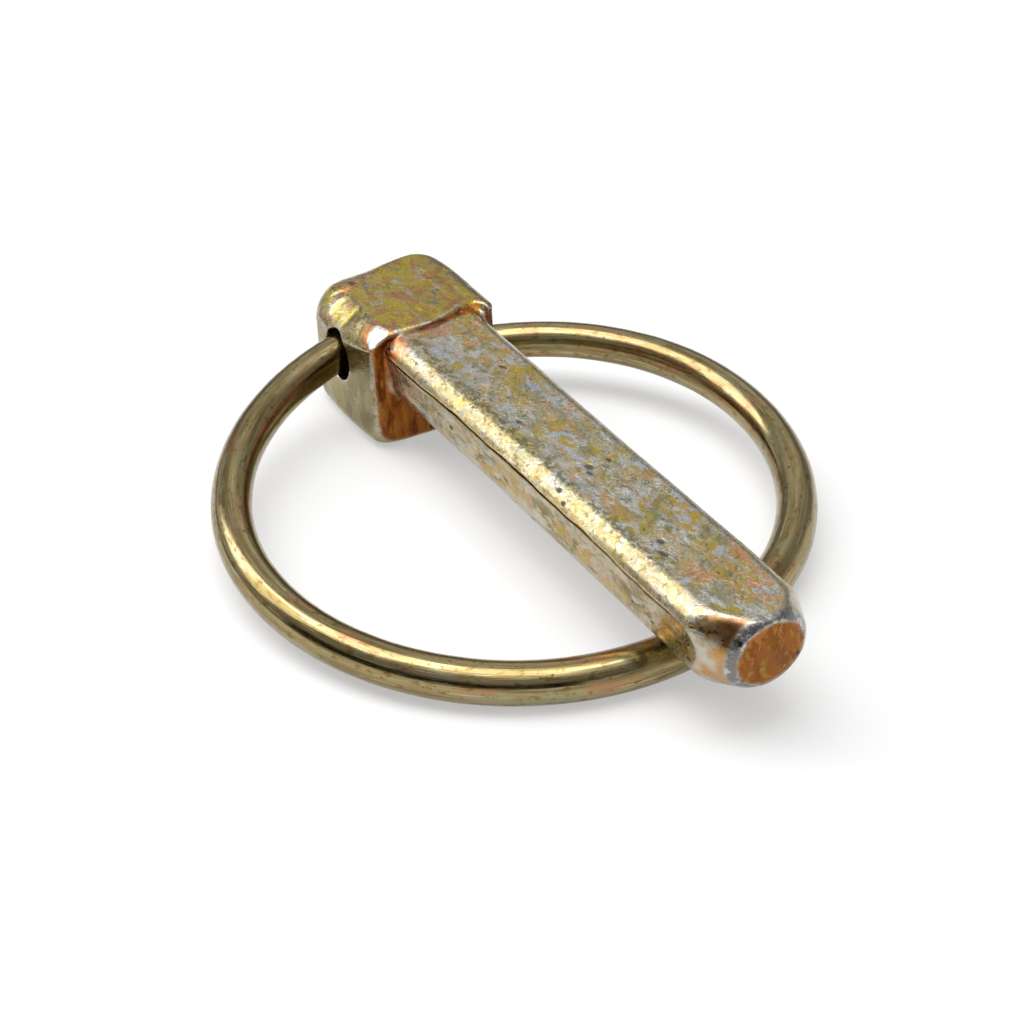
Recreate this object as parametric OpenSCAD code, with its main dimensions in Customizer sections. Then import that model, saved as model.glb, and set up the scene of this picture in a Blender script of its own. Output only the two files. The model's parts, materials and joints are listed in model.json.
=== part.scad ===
// Linch pin: a forged pin with a flat-sided, rounded shank and a block head,
// and a spring wire ring that swings on an oblique hole through the head.
// Millimetres. Origin on the shank's axis at the shoulder, +X to the tip, +Z up.

/* [Shank] */
// Width of the shank's upper forging half
shank_w = 8; // [6:0.1:10]
// Height of the shank
shank_h = 5.5; // [4.5:0.1:8]
// Length of the shank from the shoulder to the end face
shank_l = 42.4; // [30:0.1:60]
// Radius of the shank's two upper long edges
shank_edge_r = 1.3; // [0.4:0.1:1.6]
// Radius of the shank's two lower long edges
shank_foot_r = 2; // [0.4:0.1:2.4]
// Height of the parting line above the shank's axis
parting_rise = 1.3; // [-0.5:0.05:1.4]
// How far the lower forging half stands in from the upper half on each side
parting_step = 0.15; // [0:0.01:0.3]
// Radius of the fillet where the shank grows out of the head
root_fillet_r = 0.6; // [0.3:0.05:0.6]

/* [Tip] */
// Radius of the flat end face, inside its small rim bevel
end_face_r = 2.5; // [1.5:0.05:3]
// Width of the rim bevel round the end face
rim_bevel = 0.35; // [0.1:0.05:0.6]
// Angle between the shank's axis and the cone that eases the tip's sides and corners
tip_cone_angle = 28; // [12:1:40]

/* [Head] */
// Length of the head along the shank's axis
head_l = 12; // [9:0.1:14]
// Width of the head across the shank, at the middle of its barrelled sides
head_w = 11.5; // [9.5:0.1:14]
// How far the middle of the head stands left of the shank's axis
head_shift = 0.35; // [0:0.05:0.6]
// Radius of the shallow barrel on the head's two sides, seen from above
barrel_r = 45; // [25:1:80]
// Height of the head's top above the top of the shank
head_rise = 0.65; // [0.5:0.05:1.5]
// How far the foot of the head's front face reaches ahead of the shoulder
toe = 0.4; // [0.1:0.05:1.5]
// Radius that crowns the head's upper left edge
left_crown_r = 4; // [1.5:0.1:4.5]
// Radius that crowns the head's upper right edge
right_crown_r = 2; // [0.5:0.1:3]
// How far both crowns run out past the head's sides before the sides cut them off
crown_overrun = 0.5; // [0.1:0.05:0.8]
// Radius of the head's lower side edges
lower_edge_r = 0.6; // [0.4:0.1:2.5]
// Radius of the head's rear left corner, seen from above
rear_left_r = 4.2; // [1:0.1:4.5]
// Radius of the head's rear right corner, seen from above
rear_right_r = 2; // [1:0.1:4.5]
// Radius of the head's front corners, seen from above
front_corner_r = 0.5; // [0.3:0.05:1]
// Radius of the head's upper rear edge, seen from the side
rear_top_r = 2.2; // [0.5:0.1:3]
// Radius of the head's lower rear edge, seen from the side
rear_foot_r = 1.3; // [0.5:0.1:2.5]
// Radius of the head's lower front edge, seen from the side
foot_edge_r = 0.8; // [0.3:0.1:1.5]

/* [Ring] */
// Diameter of the spring wire
wire_d = 3; // [2:0.1:4]
// Inside diameter of the ring
ring_inner_d = 38; // [30:0.5:60]
// Gap between the closed ring and the underside of the shank
ring_gap = 0.75; // [0.1:0.05:1.5]
// How far the rear halves of the ring are twisted out of its plane
ring_twist = 5.5; // [0:0.1:8]
// Sideways lean of the closed ring, its right side up
ring_roll = 1.3; // [0:0.1:4]
// Turn of the closed ring about the vertical, towards the left
ring_yaw = 4.2; // [0:0.1:6]
// Length of each straight wire end inside the head
wire_end_l = 3.2; // [1.5:0.1:4]
// How much the bend where each straight end starts stands proud of the wire
bend_swell = 0.02; // [0.01:0.01:0.1]

/* [Hole] */
// Distance of the hole's centre behind the shoulder
hole_back = 5.4; // [4:0.05:7]
// Depth of the hole's centre below the shank's axis
hole_drop = 1.7; // [0.5:0.05:3]
// Clearance all round the wire in the hole
hole_clearance = 0.55; // [0.2:0.05:0.6]

/* [Hidden] */
$fn = 72;

// shank section
half_w = shank_w / 2;
half_h = shank_h / 2;
low_half_w = half_w - parting_step;
// tip
rim_r = end_face_r + rim_bevel;
bar_r = shank_w;
cone_l = (bar_r - rim_r) / tan(tip_cone_angle);

// ring: one plane arc in front, two twisted arcs behind, straight ends in the hole
wire_r = wire_d / 2;
ring_r = ring_inner_d / 2 + wire_r;
rear_span = acos(head_w / 2 / ring_r);
rear_depth = ring_r - head_w / 2;
bend_at = [-ring_r * sin(rear_span), ring_r - rear_depth * cos(ring_twist), -rear_depth * sin(ring_twist)];
hinge_back = -bend_at[0];
hole_lean = atan2(-bend_at[2], bend_at[1]);

// closed ring in the pin's frame
hole_at = [-hole_back, 0, -hole_drop];
front_z = -half_h - ring_gap - wire_r;
ring_pitch = asin((-hole_drop - front_z) / (hinge_back + ring_r));
ring_dip = ring_r * norm([sin(ring_pitch), cos(ring_pitch) * sin(ring_roll)]);
hole_r = wire_r + hole_clearance;

// head: its underside and the ring's underside rest on one plane
left_y = -head_w / 2 - head_shift;
right_y = head_w / 2 - head_shift;
side_spare = 0.1; // stock outside the sides, which their barrel cuts away
base_z = -hole_drop - hinge_back * sin(ring_pitch) - ring_dip - wire_r;
head_top = half_h + head_rise;
head_h = head_top - base_z;

// Rounded outline: circles at the corners joined by a polygon through their touching points.
// Each corner is [x, y, radius], going round anticlockwise from the lower left.
module rounded_box(corners) {
    quadrants = [[-1, -1], [1, -1], [1, 1], [-1, 1]];
    points = [for (i = [0:3])
        let (c = corners[i], q = quadrants[i],
            across = [c[0] + q[0] * c[2], c[1]],
            along = [c[0], c[1] + q[1] * c[2]])
        each (i % 2 == 0 ? [across, along] : [along, across])];
    polygon(points);
    for (c = corners) translate([c[0], c[1]]) circle(c[2]);
}

// Box outline from its low and high corners and one radius for each corner
module box_outline(low, high, radii) {
    rounded_box([
        [low[0] + radii[0], low[1] + radii[0], radii[0]],
        [high[0] - radii[1], low[1] + radii[1], radii[1]],
        [high[0] - radii[2], high[1] - radii[2], radii[2]],
        [low[0] + radii[3], high[1] - radii[3], radii[3]]]);
}

// Stands an outline drawn in Y and Z up, and runs it along X
module run_along_x(length) {
    rotate([90, 0, 90]) linear_extrude(length) children();
}

// Section of the shank: the upper half, and the narrower lower half below the parting line
module shank_section() {
    intersection() {
        box_outline([-half_w, -half_h], [half_w, half_h],
            [shank_edge_r, shank_edge_r, shank_edge_r, shank_edge_r]);
        translate([-half_w, parting_rise]) square([shank_w, shank_h]);
    }
    intersection() {
        box_outline([-low_half_w, -half_h], [low_half_w, half_h],
            [shank_foot_r, shank_foot_r, shank_foot_r, shank_foot_r]);
        translate([-half_w, -half_h]) square([shank_w, half_h + parting_rise + 0.01]);
    }
}

// The envelope that cones the tip's sides and corners and bevels the end face
module tip_envelope() {
    rotate([0, 90, 0])
        rotate_extrude()
            polygon([
                [0, -head_l / 2], [bar_r, -head_l / 2],
                [bar_r, shank_l - rim_bevel - cone_l],
                [rim_r, shank_l - rim_bevel],
                [end_face_r, shank_l], [0, shank_l]]);
}

module shank() {
    intersection() {
        translate([-head_l / 2, 0, 0]) run_along_x(shank_l + head_l / 2) shank_section();
        tip_envelope();
    }
}

// Hollow quarter profile of the root fillet, standing off a face by 0.2 inside it
module fillet_profile() {
    sink = 0.2;
    difference() {
        translate([-sink, -sink]) square(root_fillet_r + sink);
        translate([root_fillet_r, root_fillet_r]) circle(root_fillet_r);
    }
}

// Straight stretch of the root fillet, along one face of the shank that is turned upward
module face_fillet(turn, low, high, distance) {
    rotate([turn, 0, 0])
        translate([0, high, distance])
            rotate([90, 0, 0]) linear_extrude(high - low) fillet_profile();
}

// Quarter turn of the root fillet round one long edge of the shank
module edge_fillet(turn, centre, radius) {
    translate([0, centre[0], centre[1]])
        rotate([turn, 0, 0])
            rotate([0, 90, 0]) rotate([0, 0, 90])
                rotate_extrude(angle = 90) translate([radius, 0]) fillet_profile();
}

// Fillet round the shank's root, inside the head's outline
module root_fillet() {
    upper = [half_w - shank_edge_r, half_h - shank_edge_r];
    lower = [low_half_w - shank_foot_r, half_h - shank_foot_r];
    intersection() {
        union() {
            face_fillet(0, -upper[0], upper[0], half_h);
            face_fillet(90, parting_rise, upper[1], half_w);
            face_fillet(90, -lower[1], parting_rise, low_half_w);
            face_fillet(180, -lower[0], lower[0], half_h);
            face_fillet(270, -parting_rise, lower[1], low_half_w);
            face_fillet(270, -upper[1], -parting_rise, half_w);
            edge_fillet(0, upper, shank_edge_r);
            edge_fillet(90, [-upper[0], upper[1]], shank_edge_r);
            edge_fillet(180, [-lower[0], -lower[1]], shank_foot_r);
            edge_fillet(270, [lower[0], -lower[1]], shank_foot_r);
        }
        translate([-head_l / 2, left_y, base_z]) cube([head_l, head_w, head_h]);
    }
}

// Outline of the head seen from its end: crowned above, rounded below
module head_end_outline() {
    intersection() {
        box_outline([left_y - crown_overrun, base_z - crown_overrun], [right_y + crown_overrun, head_top],
            [left_crown_r, right_crown_r, right_crown_r, left_crown_r]);
        box_outline([left_y - side_spare, base_z], [right_y + side_spare, head_top + lower_edge_r],
            [lower_edge_r, lower_edge_r, lower_edge_r, lower_edge_r]);
    }
}

// Outline of the head seen from its side, with X to the right: the front face
// leans out from the shoulder's top edge to the toe
module head_side_outline() {
    lean = atan(toe / (head_h - foot_edge_r));
    reach = 2 * head_h;
    intersection() {
        box_outline([-head_l, base_z], [toe, head_top],
            [rear_foot_r, foot_edge_r, foot_edge_r, rear_top_r]);
        translate([0, head_top]) rotate(lean) translate([-reach, -reach]) square([reach, 2 * reach]);
    }
}

// Head block: the shape that its end, side and plan outlines share, between two
// upright drums that give it shallow barrelled sides
module head_block() {
    middle = (toe - head_l) / 2;
    drum_y = [left_y + barrel_r, right_y - barrel_r];
    intersection() {
        translate([-head_l, 0, 0]) run_along_x(head_l + toe) head_end_outline();
        translate([0, head_w, 0]) rotate([90, 0, 0]) linear_extrude(2 * head_w) head_side_outline();
        translate([0, 0, base_z])
            linear_extrude(head_h)
                box_outline([-head_l, left_y - side_spare], [toe, right_y + side_spare],
                    [rear_left_r, front_corner_r, front_corner_r, rear_right_r]);
        translate([middle, drum_y[0], base_z - 1]) cylinder(h = head_h + 2, r = barrel_r, $fn = 360);
        translate([middle, drum_y[1], base_z - 1]) cylinder(h = head_h + 2, r = barrel_r, $fn = 360);
    }
}

// Puts its children on the hole's centre, in the closed ring's plane
module at_hole(lean = 0) {
    translate(hole_at) rotate([ring_roll - lean, ring_pitch, -ring_yaw]) children();
}

module pin_body() {
    color([0.62, 0.58, 0.40])
        difference() {
            union() {
                head_block();
                shank();
                root_fillet();
            }
            at_hole(hole_lean)
                rotate([90, 0, 0]) cylinder(h = 2 * head_w, r = hole_r, center = true);
        }
}

// Wire bent round an arc that starts on +X and turns towards +Y
module wire_arc(radius, angle) {
    rotate_extrude(angle = angle) translate([radius, 0]) circle(wire_r);
}

// One side of the ring, from its front round to the end inside the hole
module ring_half() {
    wire_arc(ring_r, 90);
    translate([0, ring_r, 0])
        rotate([ring_twist, 0, 0])
            translate([0, -ring_r, 0])
                rotate([0, 0, 90]) wire_arc(ring_r, rear_span);
    translate(bend_at) {
        sphere(wire_r + bend_swell);
        rotate([90 - hole_lean, 0, 0]) cylinder(h = wire_end_l, r = wire_r);
    }
}

module spring_ring() {
    color([0.66, 0.55, 0.30])
        at_hole()
            translate([hinge_back, 0, 0]) {
                ring_half();
                rotate([180, 0, 0]) ring_half();
            }
}

pin_body();
spring_ring();
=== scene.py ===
import bpy
import json
import math
import numpy as np
from mathutils import Matrix, Vector


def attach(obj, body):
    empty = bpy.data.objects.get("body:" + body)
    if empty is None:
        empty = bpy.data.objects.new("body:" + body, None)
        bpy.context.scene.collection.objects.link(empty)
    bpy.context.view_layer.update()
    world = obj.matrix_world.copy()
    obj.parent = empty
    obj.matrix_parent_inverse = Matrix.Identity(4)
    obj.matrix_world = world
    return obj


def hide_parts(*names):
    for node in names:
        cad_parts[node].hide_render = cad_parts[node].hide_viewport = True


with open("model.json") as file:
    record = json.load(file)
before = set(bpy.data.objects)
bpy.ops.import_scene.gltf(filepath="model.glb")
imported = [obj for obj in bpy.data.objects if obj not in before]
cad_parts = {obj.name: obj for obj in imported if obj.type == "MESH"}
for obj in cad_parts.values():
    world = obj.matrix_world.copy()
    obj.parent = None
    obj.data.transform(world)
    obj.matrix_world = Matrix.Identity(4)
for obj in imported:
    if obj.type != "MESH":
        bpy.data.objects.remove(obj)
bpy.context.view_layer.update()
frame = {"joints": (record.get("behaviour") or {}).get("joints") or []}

# ---- Pin body ----
# A head and a shank forged in one piece of steel between two dies, with the flash trimmed off
# along the shank's sides and a slanted hole drilled through the head for the ring. Zinc plated
# in a barrel and passivated yellow. Sizes are in millimetres, and the droop is a slope.

shank_length = 42.4
shank_tip_width = 7.8
shank_root_extra = 0.5
shank_taper_length = 42.0
shank_height = 5.5
shank_start = -6.0
shank_shift = -0.14
shank_lift = 0.25
shank_droop = 0.0159
upper_edge_radius = 1.3
lower_edge_radius = 2.0
parting_inset = 0.2
lip_height = 0.05
groove_depth = 0.08
head_back = -12.0
head_top = 3.4
head_foot = -6.5626
head_side_radius = 45.0
front_lean = math.radians(2.5)
hinge = frame["joints"][0]
hole_place = np.array(hinge["pos_m"]) * 1000
hole_way = np.array(hinge["axis"])
hole_radius = 2.08
end_radius = 2.55
end_drop = 0.27
tip_slope = math.radians(28)


def rounded_meeting(a, b, radius):
    """Two faces that meet on an outer edge of this radius."""
    outside = np.hypot(np.maximum(a + radius, 0), np.maximum(b + radius, 0))
    return np.minimum(np.maximum(a, b), -radius) + outside


def filleted_join(a, b, radius):
    """Two lumps that grow together with a hollow of this radius between them."""
    inside = np.hypot(np.maximum(radius - a, 0), np.maximum(radius - b, 0))
    return np.maximum(np.minimum(a, b), radius) - inside


def ease(value, start, end):
    """Grows smoothly from 0 at the start to 1 at the end."""
    t = np.clip((value - start) / (end - start), 0, 1)
    return t * t * (3 - 2 * t)


def hump(value, middle, reach):
    """1 at the middle, and less on both sides of it."""
    return np.exp(-((value - middle) / reach) ** 2)


def above_axis(x, z):
    """Height above the shank's own axis, which droops a little towards the tip."""
    return z - shank_lift + shank_droop * x


def above_parting(x, z):
    """Height above the wavering line where the two dies met."""
    line = 1.45 + 0.25 * ease(x, 1, 13) - 0.2 * ease(x, 27, 37)
    waver = 0.03 * np.sin(0.7 * x + 1) + 0.02 * np.sin(1.9 * x)
    return above_axis(x, z) - line - waver


def out_from_end(y, z):
    """Distance from the middle of the cut end, which is a little wider than high."""
    return np.hypot(y - 0.05, (z + end_drop) * 1.12)


def tip_cone(x, y, z):
    """Distance outside the cone that eases the sides and corners at the tip."""
    cone = (out_from_end(y, z) - end_radius - 0.4) * math.cos(tip_slope)
    return cone + (x - shank_length + 0.3) * math.sin(tip_slope)


def knocked_corner(x, y, z):
    """Distance outside the flat knocked on the head's front left corner."""
    return 0.12 * x - 0.52 * y + 0.845 * z - 4.97


def rounded_bar(out_x, out_z, edge):
    """A bar's section with rounded edges, from the distances outside its sides less the radius."""
    section = np.minimum(np.maximum(out_x, out_z), 0)
    return section + np.hypot(np.maximum(out_x, 0), np.maximum(out_z, 0)) - edge


def shank_steel(x, y, z):
    """Distance outside the shank: two halves that meet at the parting line, and the tip."""
    thinning = np.clip((shank_taper_length - x) / shank_taper_length, 0, 1)
    half_width = shank_tip_width / 2 + shank_root_extra * thinning ** 2
    half_height = shank_height / 2
    across = y - shank_shift
    up = above_axis(x, z)
    rise = above_parting(x, z)
    upper_edge = upper_edge_radius + 0.3 * ease(x, 35, 40.5)
    upper = rounded_bar(np.abs(across) - half_width + upper_edge,
                        np.abs(up) - half_height + upper_edge, upper_edge)
    lower_edge = np.where(up < 0, lower_edge_radius, upper_edge)
    inset = parting_inset * ease(-rise, -0.1, 1.6)
    lower = rounded_bar(np.abs(across) - half_width + inset + lower_edge,
                        np.abs(up) - half_height + lower_edge, lower_edge)
    # the upper left edge is worn to a narrow slope
    worn_edge = 0.6 * (-across - half_width) + 0.8 * (up - 1.92)
    upper = rounded_meeting(upper, worn_edge, 0.2)
    lower = rounded_meeting(lower, worn_edge, 0.2)
    # the trimmed flash leaves a lip on the upper half and a groove under it
    upper = rounded_meeting(upper - lip_height * hump(rise, 0.06, 0.13), -rise, 0.04)
    groove = groove_depth * hump(rise, -0.12, 0.13) * (1 - ease(x, 36.5, 39))
    body = np.minimum(upper, lower + groove)
    # the tip: a cone, a bevelled rim and the cut end
    out = out_from_end(y, z)
    cone_edge = 0.16 + 0.2 * ease(-y, 1.4, 2.6) * ease(z, 0.6, 1.3)
    body = rounded_meeting(body, tip_cone(x, y, z), cone_edge)
    bevel = (out - end_radius) * 0.62 + (x - shank_length) * 0.78
    body = rounded_meeting(body, bevel, 0.12)
    return rounded_meeting(body, x - shank_length + 0.02 * out, 0.06)


# the head's top edge, going round it: direction in degrees, roundness, and how far it runs out
crown = np.array([(-180, 2.6, 0.3), (-145, 3.4, 0.5), (-128, 4.2, 0.5), (-100, 4.2, 0.5),
                  (-75, 3.9, 0.5), (-58, 3.4, 0.45), (-46, 2.6, 0.3), (-36, 0.9, 0),
                  (0, 0.16, 0), (32, 0.4, 0), (45, 1.0, 0.2), (70, 1.4, 0.3),
                  (110, 1.2, 0.3), (140, 1.1, 0.2), (160, 1.7, 0.2), (180, 2.6, 0.3)])
crown_turn = np.radians(crown[:, 0])
# the ridge along the top's front edge: place across, and how far forward it stands
ridge_across = [-1.8, -0.3, 1.2, 2.6, 3.5, 4.1, 4.7]
ridge_forward = [0.2, 0.1, -0.25, -0.78, -0.98, -0.8, 0.1]


def head_steel(x, y, z):
    """Distance outside the head: a block with bulging sides, a leaning front and a worn crown."""
    left = np.hypot(x + 5.8, y - 38.9) - head_side_radius
    right = np.hypot(x + 6.2, y + 39.3) - head_side_radius
    ridge = np.interp(y, ridge_across, ridge_forward) * ease(z, 2.5, 3.2)
    front = math.cos(front_lean) * (x - ridge) + math.sin(front_lean) * (z - head_top)
    rear = head_back - x
    is_left = ease(-y, -0.5, 0.5)
    is_rear = ease(-x, 5, 7)
    rear_corner = is_left * 3.1 + (1 - is_left) * 2.2
    front_corner = is_left * (0.38 + 1.1 * ease(-z, 4.0, 6.6)) + (1 - is_left) * 0.8
    corner = is_rear * rear_corner + (1 - is_rear) * front_corner
    outline = rounded_meeting(np.maximum(left, right), np.maximum(front, rear), corner)
    top = z - head_top + 0.00056 * ((x + 5) ** 2 + (y + 0.3) ** 2)
    turn = np.arctan2(y + 0.35, x + 5.8)
    round_over = np.interp(turn, crown_turn, crown[:, 1])
    runs_out = np.interp(turn, crown_turn, crown[:, 2])
    crowned = rounded_meeting(outline - runs_out, top, round_over)
    crease = 0.035 + 0.5 * is_rear * hump(turn, math.radians(-150), 0.4)
    block = rounded_meeting(crowned, outline, crease)
    block = rounded_meeting(block, knocked_corner(x, y, z), 0.1)
    # the crown is worn flat for a short way above the hole
    beside = 1 - ease(x, -9.0, -7.4) * (1 - ease(x, -5.4, -3.8))
    worn_flat = 0.8 * z - 0.6 * y - 4.90 - 0.4 * beside
    block = rounded_meeting(block, worn_flat, 0.15)
    foot_edge = 0.9 + 0.4 * is_rear + 0.35 * ease(-y, 3, 5) * (1 - is_rear)
    return rounded_meeting(block, head_foot - z, foot_edge)


def hole_clearance(x, y, z):
    """Distance inside the slanted hole's wall."""
    dx = x - hole_place[0] - 0.12
    dy = y - hole_place[1]
    dz = z - hole_place[2] + 0.06
    along = dx * hole_way[0] + dy * hole_way[1] + dz * hole_way[2]
    out = np.sqrt(np.maximum(dx ** 2 + dy ** 2 + dz ** 2 - along ** 2, 1e-9))
    return hole_radius - out


def pin_steel(x, y, z):
    """How far a point lies outside the forging, and below zero inside it."""
    shank = np.maximum(shank_steel(x, y, z), shank_start - x)
    root = 0.22 + 0.85 * ease(-y, 2.6, 4.6) * ease(-z, -1.5, 0.8) * ease(-z, -3.2, -0.5)
    root = np.where(y > 2.6, 0.5, root)
    body = filleted_join(head_steel(x, y, z), shank, root)
    return rounded_meeting(body, hole_clearance(x, y, z), 0.14)


def scatter(seed, i, j, k):
    """A repeatable value from -1 to 1 for each whole-number place."""
    mixed = i * 374761393 + j * 668265263 + k * 2147483647 + seed * 1274126177
    mixed = (mixed ^ (mixed >> 13)) * 1103515245
    mixed = mixed ^ (mixed >> 16)
    return (mixed & 65535) / 32767.5 - 1


def unevenness(points, size, seed):
    """Smooth hills and hollows about this many millimetres apart."""
    scaled = points / size + 1000
    corner = np.floor(scaled).astype(np.int64)
    part = scaled - corner
    part = part * part * part * (part * (part * 6 - 15) + 10)
    total = np.zeros(len(points))
    for step in range(8):
        offset = np.array([step & 1, (step >> 1) & 1, step >> 2])
        weight = np.prod(np.where(offset == 1, part, 1 - part), axis=1)
        place = corner + offset
        total += weight * scatter(seed, place[:, 0], place[:, 1], place[:, 2])
    return total


# small dents on the upper side: place along, place across, and half width
dents = [(-9.2, -2.7, 0.34), (22.8, -0.5, 0.30), (23.5, -0.9, 0.22), (32.3, -1.2, 0.27),
         (33.5, -1.8, 0.27), (15.4, -1.6, 0.24), (8.1, 1.2, 0.2)]


def in_dents(points):
    """1 in the middle of a dent and 0 clear of it."""
    total = np.zeros(len(points))
    for along, across, size in dents:
        off = ((points[:, 0] - along) / 1.4) ** 2 + (points[:, 1] - across) ** 2
        total += np.exp(-off / size ** 2)
    return total * ease(points[:, 2], 1.6, 2.4)


def forged_skin(points):
    """The forging's own unevenness and the dents it has taken, as a height off the true shape."""
    height = 0.025 * unevenness(points, 3.1, 1) - 0.07 * in_dents(points)
    height += 0.009 * unevenness(points, 1.3, 2)
    return height + 0.004 * unevenness(points, 0.62, 3)


def rough_pin(points):
    """Distance outside the forging with its uneven skin."""
    x, y, z = points.T
    return pin_steel(x, y, z) - forged_skin(points)


def stations(start, *stretches):
    """Grid lines: each stretch runs to its end in steps of about its size."""
    lines = [start]
    for end, size in stretches:
        count = max(1, round((end - lines[-1]) / size))
        lines.extend(np.linspace(lines[-1], end, count + 1)[1:])
    return np.array(lines)


def skin_over(steel, xs, ys, zs):
    """A net of four-sided faces over the steel's surface, with one point in each grid cell that
    the surface crosses and one face round each grid edge that it crosses."""
    grid = np.stack(np.meshgrid(xs, ys, zs, indexing="ij"), -1)
    value = steel(grid[..., 0], grid[..., 1], grid[..., 2])
    solid = value < 0
    cells = (len(xs) - 1, len(ys) - 1, len(zs) - 1)
    total = np.zeros((cells[0] * cells[1] * cells[2], 3))
    count = np.zeros(len(total))
    crossings = []
    for axis in range(3):
        low = [slice(None)] * 3
        high = [slice(None)] * 3
        low[axis] = slice(0, -1)
        high[axis] = slice(1, None)
        crossed = np.argwhere(solid[tuple(low)] != solid[tuple(high)])
        a = tuple(crossed.T)
        step = np.zeros(3, int)
        step[axis] = 1
        b = tuple((crossed + step).T)
        t = value[a] / (value[a] - value[b])
        place = grid[a] + t[:, None] * (grid[b] - grid[a])
        one, two = [k for k in range(3) if k != axis]
        around = []
        for back_one, back_two in ((0, 0), (1, 0), (1, 1), (0, 1)):
            cell = crossed.copy()
            cell[:, one] -= back_one
            cell[:, two] -= back_two
            inside = np.all((cell >= 0) & (cell < cells), axis=1)
            flat = (cell[:, 0] * cells[1] + cell[:, 1]) * cells[2] + cell[:, 2]
            index = np.where(inside, flat, -1)
            np.add.at(total, index[inside], place[inside])
            np.add.at(count, index[inside], 1)
            around.append(index)
        around = np.stack(around, 1)
        flip = solid[a] if axis != 1 else ~solid[a]
        around[~flip] = around[~flip][:, ::-1]
        crossings.append(around[np.all(around >= 0, axis=1)])
    used = count > 0
    number = np.cumsum(used) - 1
    points = total[used] / count[used][:, None]
    return points, number[np.concatenate(crossings)]


def slope(height, points, reach):
    """The direction in which a distance grows at each point."""
    change = np.empty_like(points)
    for axis in range(3):
        step = np.zeros(3)
        step[axis] = reach
        change[:, axis] = height(points + step) - height(points - step)
    return change / np.maximum(np.linalg.norm(change, axis=1), 1e-9)[:, None]


def edge_sharpness(steel, points, reach):
    """Above zero on outer edges, and below zero in hollows."""
    x, y, z = points.T
    total = -6 * steel(x, y, z)
    for dx, dy, dz in ((1, 0, 0), (-1, 0, 0), (0, 1, 0), (0, -1, 0), (0, 0, 1), (0, 0, -1)):
        total += steel(x + dx * reach, y + dy * reach, z + dz * reach)
    return total / reach ** 2


# the net is finer at the head, at the tip and round the parting line
xs = stations(-12.3, (0.9, 0.16), (2.4, 0.17), (38.4, 0.33), (41.6, 0.17), (42.7, 0.09))
ys = stations(-6.4, (-5.3, 0.14), (-3.2, 0.15), (3.0, 0.17), (5.7, 0.15))
zs = stations(-6.8, (-5.5, 0.15), (0.9, 0.17), (2.3, 0.068), (3.7, 0.12))
pin_points, pin_faces = skin_over(pin_steel, xs, ys, zs)
longest_step = 0.12
for settle in range(4):
    step = np.clip(rough_pin(pin_points), -longest_step, longest_step)
    pin_points -= step[:, None] * slope(rough_pin, pin_points, 0.02)
pin_normals = slope(rough_pin, pin_points, 0.03)
sharpness = edge_sharpness(pin_steel, pin_points, 0.22)
lowest_corner = [head_back, -6.25, head_foot]
highest_corner = [shank_length, 5.55, head_top]
pin_points = np.clip(pin_points, lowest_corner, highest_corner)

pin_mesh = bpy.data.meshes.new("forged_pin")
pin_mesh.from_pydata((pin_points * 0.001).tolist(), [], pin_faces.tolist())
pin_mesh.update()
pin_mesh.polygons.foreach_set("use_smooth", [True] * len(pin_mesh.polygons))
pin_mesh.normals_split_custom_set_from_vertices(pin_normals.tolist())
pin = bpy.data.objects.new("forged_pin", pin_mesh)
bpy.context.scene.collection.objects.link(pin)


def mark(name, values):
    """Writes a value on each point of the pin, for its finish to read."""
    layer = pin_mesh.attributes.new(name, "FLOAT", "POINT")
    layer.data.foreach_set("value", np.asarray(values, np.float32))


px, py, pz = pin_points.T
on_shank = ease(px, 0.6, 1.4)
before_cone = 1 - ease(px, 36.5, 38.5)

# edges, hollows and sides
mark("edge_wear", np.clip(sharpness * 0.28, 0, 1))
mark("hollow", np.clip(-sharpness * 0.3, 0, 1))
mark("side_face", np.clip(1 - np.abs(pin_normals[:, 2]) * 1.2, 0, 1))
mark("dents", in_dents(pin_points))

# the head: its worn far crown, rear corner, knocked corner and shoulder
mark("on_head", ease(-px, -0.3, 0.5))
mark("far_crown", ease(py, 3.9, 5.2) * ease(-px, -0.3, 0.5) * ease(pz, -1, 1))
mark("rear_corner", ease(-px, 9.0, 11.2) * ease(-py, 1.0, 3.6) * ease(-pz, -2.6, 0.5))
knocked = ease(knocked_corner(px, py, pz), -0.5, -0.02)
mark("knocked", knocked * (1 - ease(px, 0.1, 0.5)))
faces_front = ease(pin_normals[:, 0], 0.7, 0.95)
mark("shoulder", faces_front * ease(px, -1.0, -0.2) * (1 - ease(px, 0.9, 1.3)))

# the shank: a painted orange glow at its root, its worn upper left edge and parting line
just_out = ease(px, 0.1, 0.4) * (1 - ease(px, 1.2, 2.8))
# a painted orange glow just out from the head, high on the left
mark("root_orange_glow", just_out * ease(-py, 2.4, 3.8) * ease(pz, 0.4, 1.8))
beside_edge = hump(py, -2.75, 0.5) * ease(pz, 1.4, 2.0)
# beside the upper left edge, where dark specks are painted as reflections
mark("dark_reflection_specks", on_shank * beside_edge * (1 - ease(px, 33, 38)))
on_edge = ease(-py, 2.6, 3.0) * ease(pz, 1.2, 1.6)
mark("left_edge", on_shank * on_edge * (1 - ease(px, 36, 39.5)))
mark("above_parting", above_parting(px, pz))
mark("has_parting", on_shank * ease(np.abs(py), 3.2, 3.7) * before_cone)

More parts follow.
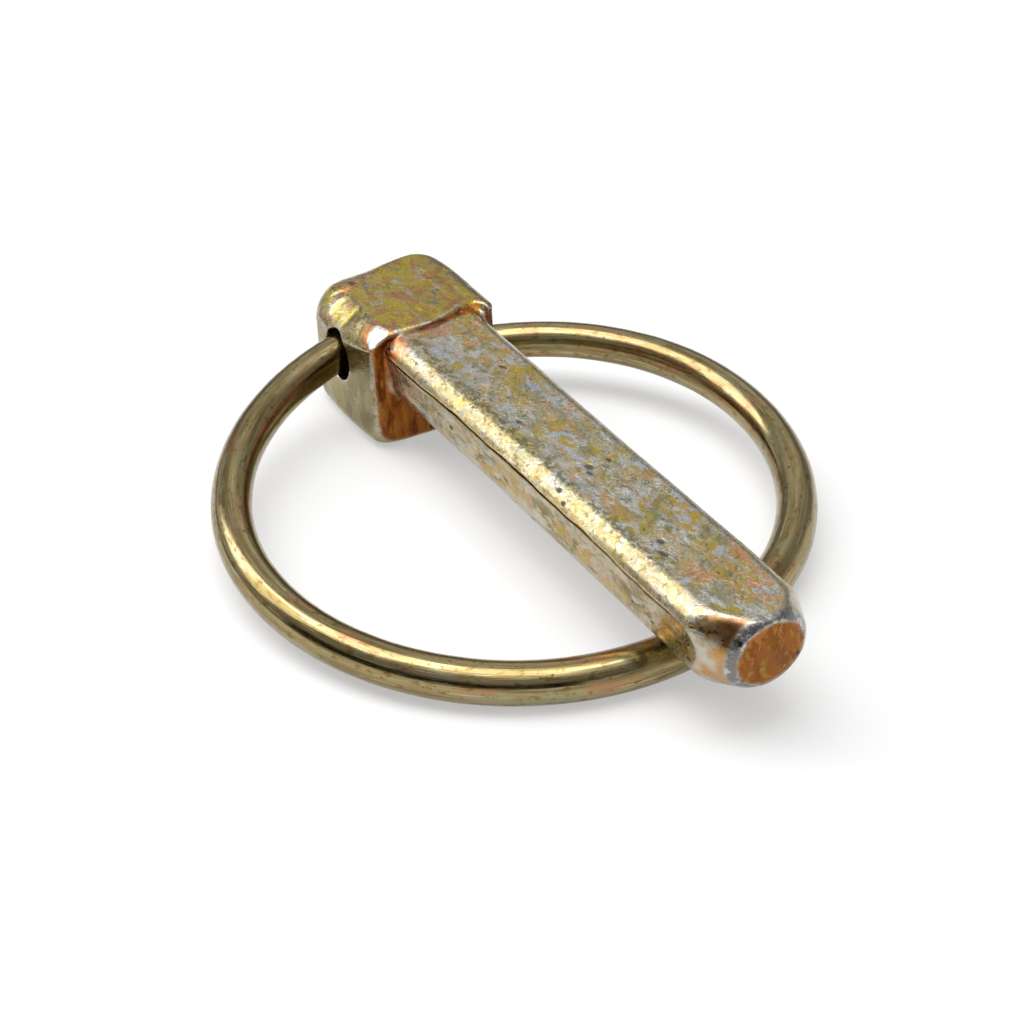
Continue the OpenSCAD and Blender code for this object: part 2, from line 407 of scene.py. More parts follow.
# the tip: its cone, rim and cut end
mark("near_tip", ease(px, 22, 34))
on_cone = ease(tip_cone(px, py, pz), -0.16, -0.04) * ease(px, 37, 38)
on_cone = on_cone * (1 - ease(px, 41.55, 41.9))
mark("tip_cone", on_cone)
# the cone's upper left, where a dark brown painted reflection goes
mark("cone_painted_reflection", on_cone * hump(py, -2.2, 0.8) * ease(px, 39.9, 40.6) * ease(pz, 0.2, 1.0))
mark("tip_rim", ease(px, 41.65, 41.95))
inside_rim = ease(-out_from_end(py, pz), -end_radius - 0.4, -end_radius + 0.45)
mark("cut_end", ease(px, 42.0, 42.2) * inside_rim)


def tint(red, green, blue):
    """A colour given as it looks on a screen, from 0 to 255, as the shader's linear values."""
    parts = []
    for part in (red, green, blue):
        part = part / 255
        part = part / 12.92 if part <= 0.04045 else ((part + 0.055) / 1.055) ** 2.4
        parts.append(part)
    return (*parts, 1.0)


def new_finish(name):
    """An empty material and its node tree."""
    finish = bpy.data.materials.new(name)
    finish.use_nodes = True
    finish.node_tree.nodes.clear()
    return finish, finish.node_tree


def feed(tree, socket, value):
    """Links a node's result to a socket, or sets the socket to a plain value."""
    if isinstance(value, bpy.types.NodeSocket):
        tree.links.new(value, socket)
    else:
        socket.default_value = value


def put(tree, kind, **values):
    """Adds a node. A value whose name starts with a capital goes to that socket, the rest to
    the node itself."""
    node = tree.nodes.new(kind)
    for key, value in values.items():
        if not key[0].isupper():
            setattr(node, key, value)
    for key, value in values.items():
        if key[0].isupper():
            name = key.replace("_", " ")
            feed(tree, next(s for s in node.inputs if s.name == name and s.enabled), value)
    return node


def layer_over(tree, under, over, amount):
    """Mixes one colour over another by an amount."""
    mix = put(tree, "ShaderNodeMix", data_type="RGBA")
    for socket, value in ((mix.inputs[0], amount), (mix.inputs[6], under), (mix.inputs[7], over)):
        feed(tree, socket, value)
    return mix.outputs[2]


def work_out(tree, way, *values, keep=False):
    """One arithmetic step between values, kept from 0 to 1 if asked."""
    node = put(tree, "ShaderNodeMath", operation=way, use_clamp=keep)
    for socket, value in zip(node.inputs, (*values, 0.0, 0.0)):
        feed(tree, socket, value)
    return node.outputs[0]


def times(tree, a, b, keep=False):
    """One value times another."""
    return work_out(tree, "MULTIPLY", a, b, keep=keep)


def plus(tree, a, b, keep=False):
    """One value added to another."""
    return work_out(tree, "ADD", a, b, keep=keep)


def plus_part(tree, a, part, b):
    """A part of one value added to another."""
    return work_out(tree, "MULTIPLY_ADD", a, part, b)


def less_where(tree, amount, there, share):
    """An amount, less by this share of it where a mask says."""
    return times(tree, amount, plus_part(tree, there, -share, 1.0))


def fade(tree, value, start, end, low=0.0, high=1.0):
    """A smooth ramp from low to high as a value goes from start to end."""
    node = put(tree, "ShaderNodeMapRange", interpolation_type="SMOOTHSTEP", Value=value,
               From_Min=start, From_Max=end, To_Min=low, To_Max=high)
    return node.outputs["Result"]


def wash(tree, under, shade, amount, strength, keep=False):
    """Lays a colour over another where a mask says, and no stronger than this."""
    return layer_over(tree, under, tint(*shade), times(tree, amount, strength, keep=keep))


def marked(tree, name):
    """A value that was marked on the piece's points."""
    return put(tree, "ShaderNodeAttribute", attribute_name=name).outputs["Fac"]


def millimetres(tree, stretch=(1, 1, 1), shift=(0, 0, 0)):
    """The place on the piece in millimetres, stretched for streaks."""
    place = put(tree, "ShaderNodeTexCoord").outputs["Object"]
    scale = [1000 / s for s in stretch]
    return put(tree, "ShaderNodeMapping", Vector=place, Location=shift, Scale=scale).outputs["Vector"]


def grain(tree, place, size, detail=3.0, rough=0.55, warp=0.0):
    """A cloudy pattern with patches of about this size in millimetres."""
    node = put(tree, "ShaderNodeTexNoise", Vector=place, Scale=1 / size, Detail=detail,
               Roughness=rough, Distortion=warp)
    return node.outputs["Fac"]


def worms(tree, place, size, width, warp):
    """Thin wandering flecks: where a cloudy pattern crosses its middle value."""
    cloud = grain(tree, place, size, 2.0, 0.5, warp)
    off = work_out(tree, "ABSOLUTE", work_out(tree, "SUBTRACT", cloud, 0.5))
    return fade(tree, off, width, width * 0.3)


# the bare film: a dull grey olive, with silvery stretches where it is thin
plating, tree = new_finish("yellow_zinc_on_forging")
here = millimetres(tree)
along = millimetres(tree, (3.2, 0.8, 0.8), (7, 3, 1))
on_head = marked(tree, "on_head")
near_tip = marked(tree, "near_tip")
dull_cloud = fade(tree, grain(tree, along, 1.6, 4.0, 0.6, 0.8), 0.40, 0.60)
dull = layer_over(tree, tint(150, 142, 112), tint(176, 170, 140), dull_cloud)
silver_cloud = fade(tree, grain(tree, here, 1.2, 4.0), 0.42, 0.58)
silver = layer_over(tree, tint(168, 170, 160), tint(190, 194, 190), silver_cloud)
drift = grain(tree, millimetres(tree, (1.6, 1, 1), (40, 2, 2)), 5.0, 2.0)
thin = plus_part(tree, drift, 0.5, grain(tree, along, 2.6, 4.0, 0.58, 0.8))
colour = layer_over(tree, dull, silver, times(tree, fade(tree, thin, 0.72, 0.79), 0.9))


def stain(under, shade, size, start, strength, shift, more=0.0):
    """Patches of one stain with wandering outlines, and more of them on the head."""
    cloud = grain(tree, millimetres(tree, (1.4, 1, 1), shift), size, 4.0, 0.58, 1.2)
    patch = fade(tree, plus_part(tree, on_head, more, cloud), start, start + 0.035)
    return wash(tree, under, shade, patch, strength)


# stains in the film: ochre, mustard, olive, blue grey, copper, orange, brown and yellow
colour = stain(colour, (180, 150, 84), 2.4, 0.530, 0.80, (31, 9, 5), more=0.08)
colour = stain(colour, (170, 152, 52), 2.2, 0.550, 0.85, (3, 41, 8), more=0.10)
colour = stain(colour, (120, 122, 96), 1.5, 0.570, 0.70, (5, 61, 14))
colour = stain(colour, (176, 186, 202), 1.8, 0.585, 0.75, (12, 31, 4), more=-0.05)
copper_cloud = grain(tree, millimetres(tree, (1.3, 1, 1), (17, 23, 4)), 1.9, 3.0, 0.55, 0.8)
copper_patch = fade(tree, plus_part(tree, near_tip, 0.05, copper_cloud), 0.615, 0.655)
colour = wash(tree, colour, (190, 140, 98), copper_patch, 0.8)
colour = stain(colour, (204, 132, 56), 0.9, 0.650, 0.90, (7, 3, 44))
colour = stain(colour, (172, 122, 68), 1.8, 0.650, 0.85, (3, 77, 21), more=0.12)
colour = stain(colour, (184, 164, 34), 1.9, 0.670, 0.85, (53, 7, 11), more=0.14)

# thin pale flecks, orange squiggles and dark hairlines, fewer on the head
fleck_zone = fade(tree, grain(tree, millimetres(tree, shift=(8, 8, 33)), 3.0, 2.0), 0.42, 0.52)
fleck = worms(tree, millimetres(tree, (1.5, 1, 1), (2, 5, 71)), 0.95, 0.030, 2.4)
fleck = less_where(tree, times(tree, fleck, fleck_zone), on_head, 0.7)
colour = wash(tree, colour, (200, 208, 218), fleck, 0.65)
quiet = plus_part(tree, on_head, -0.5, 0.75)
squiggle = worms(tree, millimetres(tree, (1.3, 1, 1), (22, 15, 7)), 1.1, 0.020, 2.2)
colour = wash(tree, colour, (202, 154, 76), squiggle, quiet)
hairline = worms(tree, millimetres(tree, (1.5, 1, 1), (9, 35, 17)), 1.3, 0.016, 2.6)
colour = wash(tree, colour, (92, 90, 74), hairline, quiet)


def side_cloud(stretch, shift, size, start, end, warp=0.6):
    """Patches on the sides, drawn out along the shank or down the head's walls."""
    return fade(tree, grain(tree, millimetres(tree, stretch, shift), size, 4.0, 0.6, warp), start, end)


# the shank's sides: longer streaks of beige, olive, gold and pink
streak = side_cloud((2.4, 1, 0.9), (1, 2, 3), 1.1, 0.44, 0.56)
sides = layer_over(tree, tint(180, 170, 144), tint(118, 108, 68), streak)
side_pale = side_cloud((2.0, 1, 1), (4, 4, 4), 0.9, 0.52, 0.60)
sides = wash(tree, sides, (198, 190, 168), side_pale, 0.8)
side_gold = side_cloud((1.8, 1, 1), (14, 7, 9), 1.3, 0.53, 0.57)
sides = wash(tree, sides, (176, 148, 66), side_gold, 0.85)
side_pink = side_cloud((1.8, 1, 1), (24, 17, 3), 1.2, 0.56, 0.60)
sides = wash(tree, sides, (184, 144, 108), side_pink, 0.75)

# the head's walls: darker, with olive patches
wall_cloud = side_cloud((1, 1, 1.8), (5, 2, 8), 2.0, 0.40, 0.58, warp=0.0)
wall = layer_over(tree, tint(112, 102, 66), tint(138, 131, 98), wall_cloud)
wall_olive = fade(tree, grain(tree, millimetres(tree, (1, 1, 1.6), (3, 2, 9)), 2.2, 4.0), 0.54, 0.60)
wall = wash(tree, wall, (136, 124, 48), wall_olive, 0.8)
sides = layer_over(tree, sides, wall, on_head)
colour = layer_over(tree, colour, sides, times(tree, marked(tree, "side_face"), 0.9))

# the shoulder is burnt coppery brown, and the rear corner is rubbed to copper
shoulder = marked(tree, "shoulder")
rust = grain(tree, millimetres(tree, (1, 1, 3.0), (11, 7, 2)), 0.9, 5.0, 0.6, 0.3)
copper = layer_over(tree, tint(150, 88, 32), tint(98, 46, 14), fade(tree, rust, 0.38, 0.62))
copper_gold = grain(tree, millimetres(tree, (1, 1, 4.0), (2, 8, 5)), 0.5, 3.0)
copper = wash(tree, copper, (154, 108, 32), fade(tree, copper_gold, 0.56, 0.68), 0.8)
colour = layer_over(tree, colour, copper, shoulder)
corner_cloud = fade(tree, grain(tree, here, 1.0, 4.0), 0.35, 0.6)
corner_patch = times(tree, marked(tree, "rear_corner"), corner_cloud)
colour = wash(tree, colour, (176, 104, 62), corner_patch, 0.9)

# the cut end is raw and coppery
raw_place = millimetres(tree, (1, 1, 1.8), (4, 9, 2))
raw_cloud = fade(tree, grain(tree, raw_place, 1.2, 4.0, 0.6), 0.4, 0.6)
raw = layer_over(tree, tint(142, 84, 28), tint(120, 70, 20), raw_cloud)
raw_light = fade(tree, grain(tree, raw_place, 0.6, 4.0, 0.6, 0.4), 0.52, 0.66)
raw = layer_over(tree, raw, tint(160, 102, 44), raw_light)
raw_gold = fade(tree, grain(tree, millimetres(tree, shift=(8, 8, 2)), 0.55, 4.0), 0.56, 0.66)
raw = wash(tree, raw, (150, 122, 50), raw_gold, 0.8)
end_cloud = grain(tree, millimetres(tree, shift=(6, 1, 9)), 0.5, 4.0, 0.7)
cut_end = fade(tree, plus_part(tree, end_cloud, 0.9, marked(tree, "cut_end")), 0.82, 0.92)
colour = layer_over(tree, colour, raw, cut_end)

# the tip's cone is pale with gold patches, and one dark brown patch on it is a painted reflection
cone = marked(tree, "tip_cone")
cone_cloud = fade(tree, grain(tree, millimetres(tree, shift=(19, 3, 23)), 2.6, 3.0), 0.44, 0.56)
cone_colour = layer_over(tree, tint(186, 182, 168), tint(178, 132, 72), cone_cloud)
colour = layer_over(tree, colour, cone_colour, times(tree, cone, 0.75))
colour = wash(tree, colour, (92, 56, 20), marked(tree, "cone_painted_reflection"), 0.95)

# worn edges and the tip's rim show grey zinc
wear_cloud = grain(tree, millimetres(tree, shift=(9, 1, 51)), 0.6, 5.0, 0.7)
worn = times(tree, marked(tree, "edge_wear"), fade(tree, wear_cloud, 0.3, 0.62))
worn = less_where(tree, worn, shoulder, 0.95)
worn = less_where(tree, worn, cone, 0.8)
colour = wash(tree, colour, (178, 174, 162), worn, 0.85)
rim_cloud = grain(tree, millimetres(tree, shift=(3, 3, 3)), 0.9, 4.0, 0.7)
rim = layer_over(tree, tint(124, 122, 120), tint(186, 184, 178), fade(tree, rim_cloud, 0.46, 0.60))
round_end = work_out(tree, "SUBTRACT", 1.0, cut_end)
colour = layer_over(tree, colour, rim, times(tree, marked(tree, "tip_rim"), round_end))

# the head's far crown is browned, and the hollows are painted dark brown to orange, painted shade with
# a painted orange glow
far_cloud = fade(tree, grain(tree, here, 1.3, 3.0), 0.3, 0.55)
far_crown = times(tree, marked(tree, "far_crown"), far_cloud)
colour = wash(tree, colour, (122, 104, 84), far_crown, 0.85)
hollow = marked(tree, "hollow")
hollow_shade_glow_cloud = fade(tree, grain(tree, here, 1.4, 3.0), 0.35, 0.65)
hollow_shade_glow = layer_over(tree, tint(84, 46, 20), tint(176, 92, 40), hollow_shade_glow_cloud)
# painted shade in the hollows, orange in places as a painted glow
colour = layer_over(tree, colour, hollow_shade_glow, times(tree, hollow, 0.9, keep=True))

# the worn left edge is golden, and the dark specks on it and beside it are painted reflections
left_edge = marked(tree, "left_edge")
edge_gold = fade(tree, grain(tree, along, 0.8, 4.0, 0.6), 0.42, 0.56, 0.1, 0.6)
colour = layer_over(tree, colour, tint(170, 154, 106), times(tree, edge_gold, left_edge))
edge_dark_reflection = grain(tree, millimetres(tree, (1.2, 1, 1), (29, 9, 4)), 0.36, 4.0, 0.6)
edge_dark_reflection = times(tree, fade(tree, edge_dark_reflection, 0.56, 0.62), left_edge)
colour = wash(tree, colour, (112, 100, 58), edge_dark_reflection, 0.75)
# painted reflections: dark specks beside the edge
speck = grain(tree, millimetres(tree, (1.4, 1, 1), (2, 9, 9)), 0.32, 3.0)
speck = times(tree, marked(tree, "dark_reflection_specks"), fade(tree, speck, 0.46, 0.54))
colour = wash(tree, colour, (96, 96, 60), speck, 0.8)

# a painted orange glow lies on the shank's root, the rim of the knocked corner is burnt orange, and
# its middle is bright metal
root_glow_cloud = fade(tree, grain(tree, here, 1.0, 3.0), 0.3, 0.55)
root_glow = times(tree, marked(tree, "root_orange_glow"), root_glow_cloud)
colour = wash(tree, colour, (206, 116, 52), root_glow, 0.85)
knocked = marked(tree, "knocked")
knock_cloud = grain(tree, millimetres(tree, shift=(13, 9, 2)), 0.9, 3.0)
knock_core = fade(tree, plus_part(tree, knock_cloud, 0.4, knocked), 0.95, 1.1)
knock_rim = times(tree, knocked, work_out(tree, "SUBTRACT", 1.0, knock_core))
colour = wash(tree, colour, (196, 110, 50), knock_rim, 0.9, keep=True)
colour = wash(tree, colour, (226, 224, 214), knock_core, 0.9)

# the parting line: its lip is painted bright gold as a painted highlight, and the groove under it is
# painted dark as painted shade
has_parting = marked(tree, "has_parting")
parting_cloud = grain(tree, millimetres(tree, (2.5, 1, 1), (6, 6, 6)), 0.5, 3.0)
parting = plus_part(tree, parting_cloud, 0.1, marked(tree, "above_parting"))
off_lip_highlight = work_out(tree, "ABSOLUTE", work_out(tree, "SUBTRACT", parting, 0.13))
colour = wash(tree, colour, (224, 196, 130), fade(tree, off_lip_highlight, 0.09, 0.03), has_parting)
# painted shade: a dark line in the groove under the lip
off_crack_shade = work_out(tree, "ABSOLUTE", plus(tree, parting, 0.09))
crack_shade = times(tree, fade(tree, off_crack_shade, 0.14, 0.07), has_parting)
crack_shade = less_where(tree, crack_shade, near_tip, 0.5)
colour = layer_over(tree, colour, tint(58, 38, 14), crack_shade)

# small dark pits and the dents
pit_place = millimetres(tree, (1.5, 1, 1))
pit_cells = put(tree, "ShaderNodeTexVoronoi", Vector=pit_place, Scale=0.85, Randomness=1.0)
pit_zone = fade(tree, grain(tree, here, 2.6, 1.0), 0.57, 0.60)
pit = times(tree, fade(tree, pit_cells.outputs["Distance"], 0.20, 0.10), pit_zone)
pit = work_out(tree, "MAXIMUM", pit, fade(tree, marked(tree, "dents"), 0.25, 0.65))
colour = wash(tree, colour, (74, 74, 80), pit, 0.85)

# duller where it is cracked, rubbed, in the hollows and where it is pitted
sheen_cloud = grain(tree, millimetres(tree, shift=(2, 81, 4)), 0.6, 3.0, 0.6, 0.8)
roughness = fade(tree, sheen_cloud, 0.38, 0.62, 0.17, 0.34)
roughness = plus(tree, roughness, times(tree, crack_shade, 0.3))
roughness = plus(tree, roughness, times(tree, left_edge, 0.06))
roughness = plus(tree, roughness, times(tree, hollow, 0.2))
roughness = plus(tree, roughness, times(tree, pit, 0.3), keep=True)

# the fine relief of the forged skin under the plating, smoother on the cone
relief = grain(tree, millimetres(tree, (1.5, 1, 1)), 0.7, 2.5, 0.55, 0.8)
relief = plus_part(tree, grain(tree, here, 0.22, 2.0), 0.16, relief)
relief = plus_part(tree, pit, -0.9, relief)
relief = plus_part(tree, fleck, 0.22, relief)
relief = plus_part(tree, hairline, -0.25, relief)
relief = less_where(tree, relief, cone, 0.75)
bumps = put(tree, "ShaderNodeBump", Strength=0.5, Distance=0.00005, Height=relief)
metal = put(tree, "ShaderNodeBsdfPrincipled", Base_Color=colour, Metallic=1.0, Roughness=roughness,
            Normal=bumps.outputs["Normal"])
put(tree, "ShaderNodeOutputMaterial", Surface=metal.outputs["BSDF"])
pin_mesh.materials.append(plating)
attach(pin, "pin_body")
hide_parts("pin_body")


# ---- Spring ring: the wire ----
# One length of hard-drawn 3 mm spring wire, bent round a former into a ring and then twisted, so
# that its two straight ends enter the slanted hole from its two sides. Zinc plated and passivated
# to a brassy gold, and held by its own spring.

wire_radius = 1.5
ring_radius = 20.5
half_head = 5.75
twist = math.radians(5.5)
end_length = 3.2
gap_under_shank = 0.75
ring_yaw = math.radians(-4.2)
ring_tilt = math.radians(1.3)
bend_softness = 0.55
wire_stations = 760
facets = 56

rear_angle = math.acos(half_head / ring_radius)
hinge_back = ring_radius * math.sin(rear_angle)
front_level = -shank_height / 2 - gap_under_shank - wire_radius
ring_pitch = math.asin((hole_place[2] - front_level) / (hinge_back + ring_radius))
ring_place = Matrix.Translation(Vector(hole_place.tolist()))
ring_place = ring_place @ Matrix.Rotation(ring_yaw, 4, "Z")
ring_place = ring_place @ Matrix.Rotation(ring_pitch, 4, "Y")
ring_place = ring_place @ Matrix.Rotation(ring_tilt, 4, "X")
bend_y = ring_radius - (ring_radius - half_head) * math.cos(twist)
bend_z = -(ring_radius - half_head) * math.sin(twist)
end_lean = math.atan2(-bend_z, bend_y)


def wire_end(depth):
    """The wire's centre line this deep in the hole, in the ring's own plane."""
    return (0, bend_y - depth * math.cos(end_lean), bend_z + depth * math.sin(end_lean))


def half_ring(step):
    """The wire's centre line from the ring's front to one end in the hole."""
    line = []
    for angle in np.arange(0, math.pi / 2, step / ring_radius):
        line.append((hinge_back + ring_radius * math.cos(angle), ring_radius * math.sin(angle), 0))
    for angle in np.arange(0, rear_angle, step / ring_radius):
        back = hinge_back - ring_radius * math.sin(angle)
        side = ring_radius * math.cos(angle) - ring_radius
        line.append((back, ring_radius + side * math.cos(twist), side * math.sin(twist)))
    for depth in np.arange(0, end_length, step):
        line.append(wire_end(depth))
    line.append(wire_end(end_length))
    return np.array(line)


def soften(line, reach):
    """Rounds the bends of an evenly divided line over this length and keeps its two ends."""
    span = int(3 * reach / spacing)
    weights = np.exp(-0.5 * (np.arange(-span, span + 1) * spacing / reach) ** 2)
    weights /= weights.sum()
    before = 2 * line[0] - line[span:0:-1]
    after = 2 * line[-1] - line[-2:-span - 2:-1]
    padded = np.concatenate([before, line, after])
    return np.stack([np.convolve(padded[:, k], weights, "valid") for k in range(3)], 1)


# both halves in one line, evenly divided, softened at its bends and put in its place
one_half = half_ring(0.2)
other_half = one_half * [1, -1, -1]
wire_line = np.concatenate([other_half[::-1], one_half[1:]])
lengths = np.concatenate([[0], np.cumsum(np.linalg.norm(np.diff(wire_line, axis=0), axis=1))])
even = np.linspace(0, lengths[-1], wire_stations)
wire_line = np.stack([np.interp(even, lengths, wire_line[:, k]) for k in range(3)], 1)
spacing = even[1] - even[0]
wire_line = soften(wire_line, bend_softness)
turned = np.array(ring_place.to_3x3())
wire_line = wire_line @ turned.T + np.array(ring_place.translation)

# the wire's own directions at each station: along it, up and out
wire_way = np.gradient(wire_line, axis=0)
wire_way /= np.linalg.norm(wire_way, axis=1)[:, None]
plane_up = turned @ np.array([0, 0, 1.0])
wire_up = plane_up - (wire_way @ plane_up)[:, None] * wire_way
wire_up /= np.linalg.norm(wire_up, axis=1)[:, None]
wire_out = np.cross(wire_way, wire_up)

# a round skin, a little uneven, and closed in slightly at its two cut ends
turns = np.arange(facets) * 2 * math.pi / facets
cos_turn = np.cos(turns)[None, :, None]
sin_turn = np.sin(turns)[None, :, None]
round_it = wire_out[:, None, :] * cos_turn + wire_up[:, None, :] * sin_turn
true_points = (wire_line[:, None, :] + round_it * wire_radius).reshape(-1, 3)
wire_skin = 0.012 * unevenness(true_points, 2.6, 21) + 0.006 * unevenness(true_points, 1.1, 22)
gauge = wire_radius - 0.02 + wire_skin.reshape(wire_stations, facets)
from_end = np.minimum(even, even[-1] - even)
gauge *= (1 - 0.12 * (1 - ease(from_end, 0, 0.25)))[:, None]
wire_points = (wire_line[:, None, :] + round_it * gauge[..., None]).reshape(-1, 3)

# four-sided faces round the wire, and one face on each cut end
rows = np.arange(wire_stations - 1)[:, None] * facets
columns = np.arange(facets)[None, :]
next_columns = (columns + 1) % facets
wire_faces = np.stack([rows + columns, rows + next_columns,
                       rows + facets + next_columns, rows + facets + columns], -1)
last_row = len(wire_points) - facets
ends = [list(range(facets))[::-1], list(range(last_row, len(wire_points)))]
ring_mesh = bpy.data.meshes.new("spring_wire")
ring_mesh.from_pydata((wire_points * 0.001).tolist(), [], wire_faces.reshape(-1, 4).tolist() + ends)
ring_mesh.update()
ring_mesh.polygons.foreach_set("use_smooth", [True] * len(ring_mesh.polygons))
ring = bpy.data.objects.new("spring_wire", ring_mesh)
bpy.context.scene.collection.objects.link(ring)

# each point's place along and round the drawn wire, for its finish to read
drawn = ring_mesh.attributes.new("drawn_place", "FLOAT_VECTOR", "POINT")
drawn_place = np.stack([np.repeat(even, facets),
                        np.tile(np.cos(turns) * wire_radius, wire_stations),
                        np.tile(np.sin(turns) * wire_radius, wire_stations)], 1)
drawn.data.foreach_set("vector", drawn_place.astype(np.float32).ravel())

# drawing left fine lines along the wire, and the film is thicker and redder in stretches
brass, tree = new_finish("yellow_zinc_on_wire")
wire_place = put(tree, "ShaderNodeAttribute", attribute_name="drawn_place").outputs["Vector"]


def wire_grain(length, width, shift, detail, rough=0.55):
    """A cloudy pattern drawn out along the wire, in patches of about this length and width."""
    place = put(tree, "ShaderNodeMapping", Vector=wire_place, Location=(shift, shift, 0),
                Scale=(1 / length, 1 / width, 1 / width))
    return grain(tree, place.outputs["Vector"], 1.0, detail, rough)


fine = wire_grain(6.0, 0.14, 0.0, 3.0, 0.6)
medium = wire_grain(9.0, 0.5, 5.0, 4.0, 0.6)
broad = wire_grain(5.0, 1.6, 11.0, 3.0)
mottle = wire_grain(0.9, 0.5, 17.0, 5.0, 0.65)
greenish = wire_grain(3.0, 0.9, 31.0, 3.0)
speck = wire_grain(0.5, 0.35, 47.0, 3.0)
colour = layer_over(tree, tint(160, 144, 102), tint(128, 112, 72), fade(tree, medium, 0.38, 0.62))
colour = wash(tree, colour, (186, 176, 146), fade(tree, fine, 0.55, 0.70), 0.8)
colour = wash(tree, colour, (160, 116, 84), fade(tree, broad, 0.54, 0.66), 0.65)
colour = wash(tree, colour, (146, 144, 112), fade(tree, greenish, 0.52, 0.64), 0.7)
colour = wash(tree, colour, (112, 88, 46), fade(tree, mottle, 0.54, 0.64), 0.75)
colour = wash(tree, colour, (88, 66, 36), fade(tree, speck, 0.66, 0.72), 0.7)
roughness = fade(tree, mottle, 0.3, 0.7, 0.11, 0.24)
relief = plus(tree, fine, times(tree, medium, 0.6))
relief = plus(tree, relief, times(tree, mottle, 0.25))
bumps = put(tree, "ShaderNodeBump", Strength=0.35, Distance=0.00003, Height=relief)
metal = put(tree, "ShaderNodeBsdfPrincipled", Base_Color=colour, Metallic=1.0, Roughness=roughness,
            Normal=bumps.outputs["Normal"])
put(tree, "ShaderNodeOutputMaterial", Surface=metal.outputs["BSDF"])
ring_mesh.materials.append(brass)
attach(ring, "spring_ring")
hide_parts("spring_ring")


# ---- Studio: floor, cards, lamp, room and camera ----
# A plain white sheet that the head lies on, one tall soft lamp high on the left, two black and
# two grey curved cards for the plating to mirror, a soft room light, and a camera beyond the tip.

floor_level = head_foot * 0.001
floor_reach = 3
floor_glow = 0.4
floor_mesh = bpy.data.meshes.new("floor")
floor_mesh.from_pydata([(-floor_reach, -floor_reach, floor_level),
                        (floor_reach, -floor_reach, floor_level),
                        (floor_reach, floor_reach, floor_level),
                        (-floor_reach, floor_reach, floor_level)], [], [(0, 1, 2, 3)])
floor = bpy.data.objects.new("floor", floor_mesh)
bpy.context.scene.collection.objects.link(floor)

# to the camera and in reflections the sheet glows a little, so that its shadows stay pale
paper, tree = new_finish("white_sheet")
sheet = put(tree, "ShaderNodeBsdfPrincipled", Base_Color=(0.84, 0.84, 0.84, 1), Roughness=0.9,
            Specular_IOR_Level=0.0)
white = put(tree, "ShaderNodeEmission", Color=(1, 1, 1, 1), Strength=1.0)
rays = put(tree, "ShaderNodeLightPath")
seen = plus(tree, rays.outputs["Is Camera Ray"], rays.outputs["Is Glossy Ray"])
seen = plus(tree, seen, rays.outputs["Is Transmission Ray"], keep=True)
blend = put(tree, "ShaderNodeMixShader", Fac=times(tree, seen, floor_glow))
feed(tree, blend.inputs[1], sheet.outputs["BSDF"])
feed(tree, blend.inputs[2], white.outputs["Emission"])
put(tree, "ShaderNodeOutputMaterial", Surface=blend.outputs["Shader"])
floor_mesh.materials.append(paper)


def dark_card(name, shade, middle, spread, low, high, distance):
    """A curved card that stands round the piece, seen only in its reflections. Its middle, its
    spread round the piece and its two heights are in degrees, and its distance is in metres."""
    black, tree = new_finish(name)
    card = put(tree, "ShaderNodeEmission", Color=(shade, shade, shade, 1), Strength=1.0)
    put(tree, "ShaderNodeOutputMaterial", Surface=card.outputs["Emission"])
    corners = []
    faces = []
    panels = 16
    for step in range(panels + 1):
        angle = math.radians(middle - spread / 2 + spread * step / panels)
        for height in (low, high):
            rise = distance * math.tan(math.radians(height))
            corners.append((distance * math.cos(angle), distance * math.sin(angle), rise))
        if step:
            last = 2 * step
            faces.append((last - 2, last, last + 1, last - 1))
    mesh = bpy.data.meshes.new(name)
    mesh.from_pydata(corners, [], faces)
    mesh.materials.append(black)
    board = bpy.data.objects.new(name, mesh)
    bpy.context.scene.collection.objects.link(board)
    board.visible_camera = False
    board.visible_diffuse = False
    board.visible_shadow = False


dark_card("card_front", 0.02, -58, 100, 6, 28, 0.50)
dark_card("card_left", 0.03, -140, 100, 2, 8, 0.52)
dark_card("card_right", 0.30, 22, 76, 19, 50, 0.54)
dark_card("card_back", 0.28, 140, 96, 2, 24, 0.56)

# the lamp shines down on the shank
lamp_target = Vector((0.015, 0, 0))
lamp_distance = 0.5
lamp_azimuth = math.radians(-143)
lamp_height = math.radians(64)
lamp = bpy.data.lights.new("soft_window", "AREA")
lamp.shape = "RECTANGLE"
lamp.size = 0.29
lamp.size_y = 0.84
lamp.energy = 2.9
soft_lamp = bpy.data.objects.new("soft_window", lamp)
bpy.context.scene.collection.objects.link(soft_lamp)
toward = Vector((math.cos(lamp_height) * math.cos(lamp_azimuth),
                 math.cos(lamp_height) * math.sin(lamp_azimuth), math.sin(lamp_height)))
soft_lamp.location = lamp_target + toward * lamp_distance
soft_lamp.rotation_euler = toward.to_track_quat("Z", "Y").to_euler()

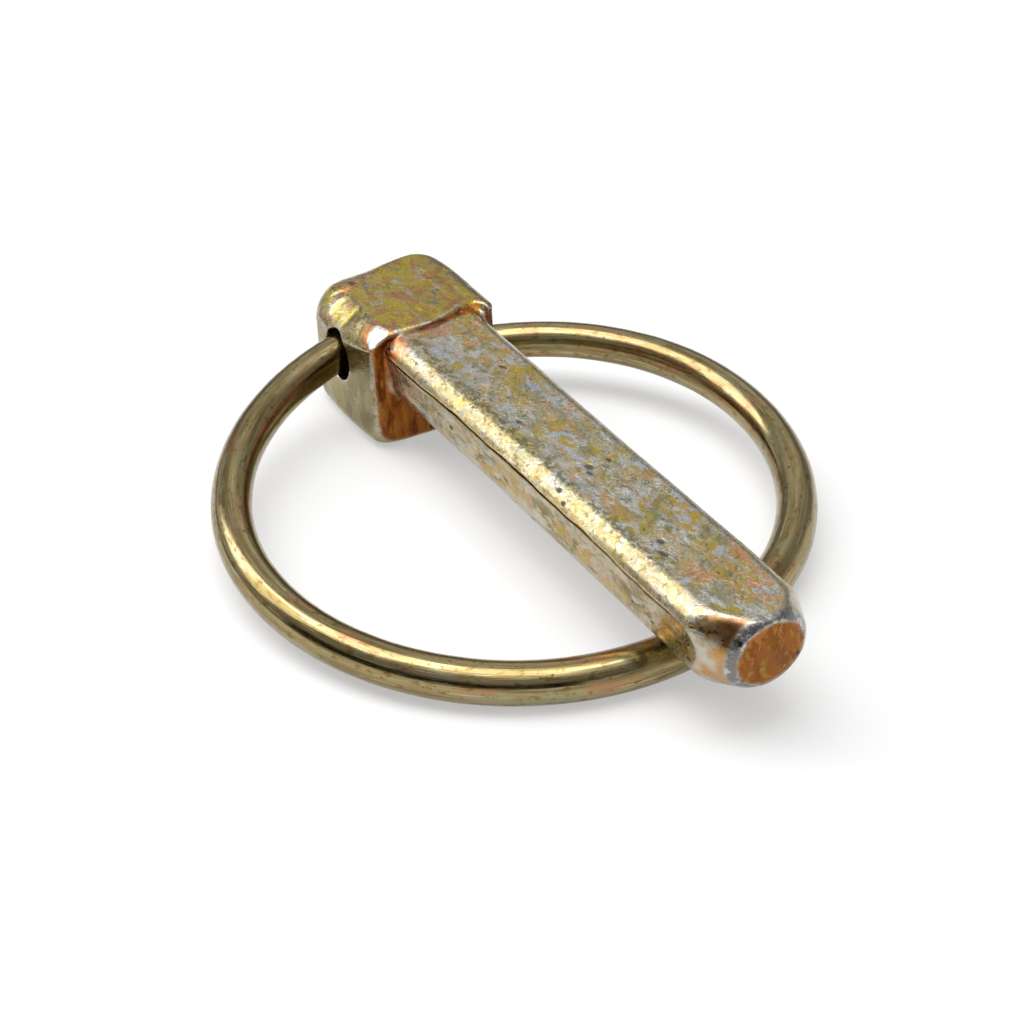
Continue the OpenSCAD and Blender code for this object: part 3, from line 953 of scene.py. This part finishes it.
# the room is pale near the floor, brighter overhead and behind, and dimmer between
room_light = 0.38
world = bpy.data.worlds.new("studio_room")
bpy.context.scene.world = world
world.use_nodes = True
tree = world.node_tree
tree.nodes.clear()
look = put(tree, "ShaderNodeTexCoord").outputs["Generated"]
height = put(tree, "ShaderNodeSeparateXYZ", Vector=look).outputs["Z"]
low_wall = fade(tree, height, 0.34, 0.16, 0.0, 0.52)
overhead = fade(tree, height, 0.78, 0.95, 0.0, 0.9)
rear_wall = put(tree, "ShaderNodeVectorMath", operation="DOT_PRODUCT")
feed(tree, rear_wall.inputs[0], look)
feed(tree, rear_wall.inputs[1], (-0.733, 0.476, 0.485))
rear_glow = fade(tree, rear_wall.outputs["Value"], 0.80, 0.985, 0.0, 0.44)
glow = work_out(tree, "MAXIMUM", low_wall, rear_glow)
glow = plus(tree, glow, plus(tree, overhead, room_light))
room = put(tree, "ShaderNodeBackground", Color=(1, 1, 1, 1), Strength=glow)
put(tree, "ShaderNodeOutputWorld", Surface=room.outputs["Background"])

# the camera, close and turned a little on its side
camera_place = (0.1037844, -0.0530196, 0.0653775)
camera_height = math.radians(34.55)
camera_azimuth = math.radians(-29.81)
camera_roll = math.radians(-1.2)
camera_data = bpy.data.cameras.new("camera")
camera_data.lens = 59.69
camera_data.sensor_width = 36
camera_data.clip_start = 0.01
camera_data.clip_end = 50
camera = bpy.data.objects.new("camera", camera_data)
bpy.context.scene.collection.objects.link(camera)
back = Vector((math.cos(camera_height) * math.cos(camera_azimuth),
               math.cos(camera_height) * math.sin(camera_azimuth), math.sin(camera_height)))
level = Vector((-math.sin(camera_azimuth), math.cos(camera_azimuth), 0))
upright = back.cross(level)
right_way = level * math.cos(camera_roll) + upright * math.sin(camera_roll)
up_way = upright * math.cos(camera_roll) - level * math.sin(camera_roll)
camera_turn = Matrix((right_way, up_way, back)).transposed()
camera.matrix_world = Matrix.Translation(camera_place) @ camera_turn.to_4x4()
bpy.context.scene.camera = camera
bpy.context.scene.view_settings.view_transform = "Standard"
